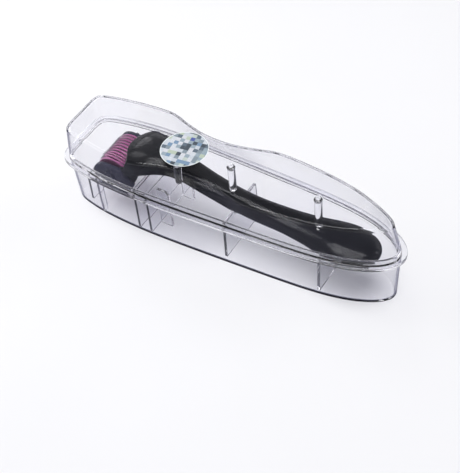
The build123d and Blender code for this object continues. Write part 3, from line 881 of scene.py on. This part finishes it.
def yoke_bridge():
    """A plug across the inside of the handle's -X end."""
    # x, growth of the handle's section
    profile = ((-53.0, -2.3), (-52.85, -1.95), (-52.5, -1.75), (-50, -1.68), (-47, -1.68),
               (-46.5, -1.9))
    surface = Surface()
    for loop in surface.stack([[(x, *section(x, grow, 2 * math.pi * i / 96)) for i in range(96)]
                               for x, grow in profile]):
        surface.fill(loop)
    # the bridge: the yoke's plastic painted dark, as painted shade inside the handle
    make("yoke_bridge", surface, "roller", m_yoke_shade, sharp_angle=40,
         replaces=["head_yoke"])


yoke_bridge()


# ------------------------------------------------------------------ drum rings
def drum_ring(cad_name, name):
    """A ring with a crowned rim, turned about the axle."""
    lo, hi = box_mm(cad_name)
    width = hi.y - lo.y
    crown = (hi.x - lo.x) / 2
    bore, face, shoulder, crown_foot = 4.6, 9.0, 9.18, 9.22     # radii
    profile = [(bore, lo.y), (face, lo.y), (shoulder, lo.y + 0.04)]
    for k in range(13):
        t = k / 12
        profile.append((crown_foot + (crown - crown_foot) * math.sin(math.pi * t) ** 0.7,
                        lo.y + 0.1 + (width - 0.2) * t))
    profile += [(shoulder, hi.y - 0.04), (face, hi.y), (bore, hi.y)]
    surface = Surface()
    first, last = surface.stack([[(x, y, z) for x, z, _ in circle(AXLE_X, AXLE_Z, radius, 0, 144)]
                                 for radius, y in profile])
    surface.join(last, first)
    make(name, surface, "drum", m_purple, sharp_angle=50, replaces=[cad_name])


for k in range(1, 9):
    drum_ring("spacer_ring_%d" % k, "ring_%d" % k)
drum_ring("drum_end_ring_near", "ring_end_near")
drum_ring("drum_end_ring_far", "ring_end_far")

# ------------------------------------------------------------------ CAD nodes that stay
kept = [("axle_pin", m_axle), ("axle_cap_near", m_yoke), ("axle_cap_far", m_yoke),
        ("drum_core", m_core)] + [("needle_disc_%d" % i, m_needle) for i in range(1, 10)]
for cad_name, material in kept:
    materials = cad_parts[cad_name].data.materials
    materials.clear()
    materials.append(material)


# ------------------------------------------------------------------ stage
def studio_floor():
    mesh = bpy.data.meshes.new("floor")
    bm = bmesh.new()
    bmesh.ops.create_grid(bm, x_segments=2, y_segments=2, size=3.0)
    bm.to_mesh(mesh)
    bm.free()
    floor = bpy.data.objects.new("floor", mesh)
    floor.location = (0, 0, cad_lo.z - 0.0003)
    scene.collection.objects.link(floor)
    mat, nt, bsdf = material_nodes("studio_floor")
    tone = two_tone(nt, noise(nt, scale=8, detail=2),
                    dark=(0.793, 0.793, 0.795), light=(0.803, 0.803, 0.805))
    nt.links.new(tone, bsdf.inputs["Base Color"])
    bsdf.inputs["Roughness"].default_value = 0.9
    # mirrored once, the floor is dim, so that the clear walls and the black parts stay dark;
    # light piped round inside the clear plastic still sees it at its full brightness
    path = node(nt, "ShaderNodeLightPath")
    dim = node(nt, "ShaderNodeBsdfDiffuse")
    dim.inputs["Color"].default_value = (0.22, 0.22, 0.28, 1)
    # a glossy depth of 1, give or take 0.4
    once = math_node(nt, "COMPARE", path.outputs["Glossy Depth"], 1.0, 0.4)
    mix_to_surface(nt, once, bsdf, dim)
    mesh.materials.append(mat)


def studio_world():
    world = bpy.data.worlds.new("studio")
    scene.world = world
    world.use_nodes = True
    nt = world.node_tree
    background = nt.nodes["Background"]
    # pale at the horizon, dusky overhead
    sky = colour_ramp(nt, coordinates(nt, "Generated")[2],
                      [(0.0, (1.0, 1.0, 1.02)), (0.30, (0.86, 0.86, 0.93)),
                       (0.58, (0.18, 0.18, 0.21))])
    # seen straight or only through the clear case, the backdrop is evenly pale
    path = node(nt, "ShaderNodeLightPath")
    unmirrored = math_node(nt, "LESS_THAN", path.outputs["Glossy Depth"], 0.5)
    through = math_node(nt, "MULTIPLY", path.outputs["Is Transmission Ray"], unmirrored)
    straight = math_node(nt, "MAXIMUM", path.outputs["Is Camera Ray"], through)
    backdrop = (0.98, 0.98, 1.0, 1)
    nt.links.new(mix_colours(nt, straight, sky, backdrop), background.inputs["Color"])
    background.inputs["Strength"].default_value = 0.955


def lamp(name, where, at, size, power):
    data = bpy.data.lights.new(name, "AREA")
    data.shape = "RECTANGLE"
    data.size, data.size_y = size
    data.energy = power
    obj = bpy.data.objects.new(name, data)
    obj.location = where
    obj.rotation_mode = "QUATERNION"
    obj.rotation_quaternion = (Vector(at) - Vector(where)).to_track_quat("-Z", "Y")
    scene.collection.objects.link(obj)
    return obj


studio_floor()
studio_world()
top_lamp = lamp("top", where=(0.0, -0.05, 1.0), at=(0, 0, 0.02), size=(0.75, 0.75), power=8.6)
top_lamp.visible_glossy = False
lamp("side", where=(-0.9, -0.1, 0.35), at=(0, 0, 0.03), size=(0.5, 0.35), power=2.6)
lamp("softbox", where=(-0.68, 0.65, 0.85), at=(-0.06, 0, 0.05), size=(0.38, 0.34), power=0.05)
lamp("crown", where=(-0.64, 0.50, 0.46), at=(-0.06, 0, 0.05), size=(0.26, 0.22), power=0.5)
lamp("brow", where=(-0.60, 0.18, 0.72), at=(-0.05, 0, 0.04), size=(0.26, 0.26), power=0.55)
lamp("back", where=(0.75, 0.65, 0.4), at=(0, 0, 0.03), size=(0.6, 0.3), power=1.6)

# ------------------------------------------------------------------ camera
cam_data = bpy.data.cameras.new("camera")
cam = bpy.data.objects.new("camera", cam_data)
scene.collection.objects.link(cam)
# the camera's own X, Y and Z axes, and its place
cam_right = (0.852908, 0.516101, -0.07866)
cam_up = (-0.339747, 0.66312, 0.666966)
cam_back = (0.396383, -0.542136, 0.740925)
cam_place = (0.248551, -0.346297, 0.468899)
cam.matrix_world = Matrix((*zip(cam_right, cam_up, cam_back, cam_place), (0, 0, 0, 1)))
cam_data.sensor_width = 36.0
cam_data.lens = 89.62
cam_data.clip_start, cam_data.clip_end = 0.01, 20.0
scene.camera = cam

# ------------------------------------------------------------------ render settings
scene.view_settings.view_transform = "Standard"
scene.view_settings.look = "None"
# many bounces, for light to get through the layers of clear plastic
scene.cycles.max_bounces = 24
scene.cycles.transmission_bounces = 20
scene.cycles.transparent_max_bounces = 24
scene.cycles.glossy_bounces = 8
scene.cycles.diffuse_bounces = 4
